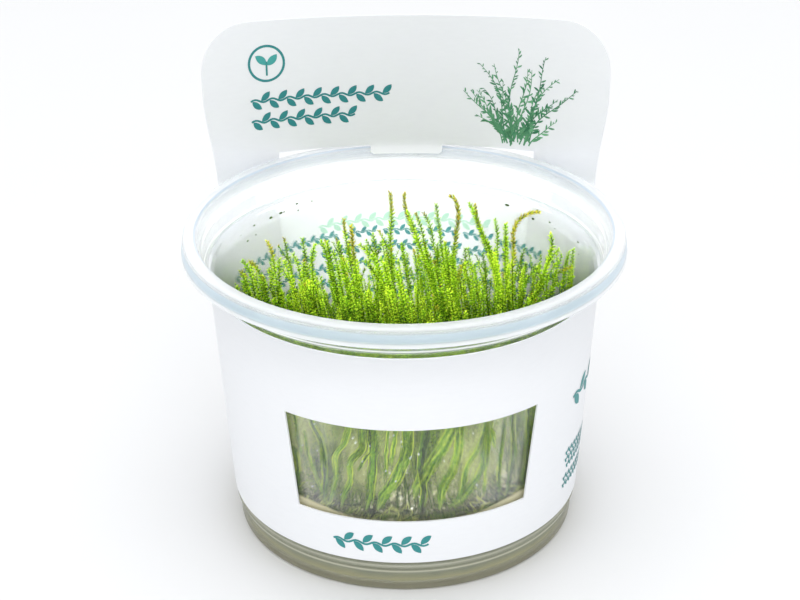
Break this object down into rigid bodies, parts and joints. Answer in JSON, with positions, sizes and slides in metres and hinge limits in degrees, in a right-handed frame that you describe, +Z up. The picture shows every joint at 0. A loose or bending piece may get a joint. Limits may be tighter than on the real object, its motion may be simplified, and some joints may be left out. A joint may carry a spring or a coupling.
{
  "type": "tissue culture flame moss",
  "caption": "Flame moss grown as a tissue culture on clear gel in an open plastic cup, in a white card sleeve with a window and a display panel",
  "frame": {"origin": "Middle of the cup's flat base, on the table that it stands on.", "axes": "+Z is up. -Y is the front, where the window in the card sleeve is. +X is to the right of someone who looks at the window."},
  "size_m": [0.095, 0.095, 0.0992],
  "materials": {
    "clear_plastic": "clear",
    "white_card": "smooth",
    "gel": "cloudy",
    "moss_green": "leafy"
  },
  "bodies": {
    "root": {"cup": "clear_plastic", "card_sleeve": "white_card", "nutrient_gel": "gel", "moss_tuft_01": "moss_green", "moss_tuft_02": "moss_green", "moss_tuft_03": "moss_green", "moss_tuft_04": "moss_green", "moss_tuft_05": "moss_green", "moss_tuft_06": "moss_green", "moss_tuft_07": "moss_green", "moss_tuft_08": "moss_green", "moss_tuft_09": "moss_green", "moss_tuft_10": "moss_green", "moss_tuft_11": "moss_green", "moss_tuft_12": "moss_green", "moss_tuft_13": "moss_green", "moss_tuft_14": "moss_green", "moss_tuft_15": "moss_green", "moss_tuft_16": "moss_green", "moss_tuft_17": "moss_green", "moss_tuft_18": "moss_green", "moss_tuft_19": "moss_green", "moss_tuft_20": "moss_green", "moss_tuft_21": "moss_green", "moss_tuft_22": "moss_green", "moss_tuft_23": "moss_green", "moss_tuft_24": "moss_green", "moss_tuft_25": "moss_green"}
  },
  "joints": []
}
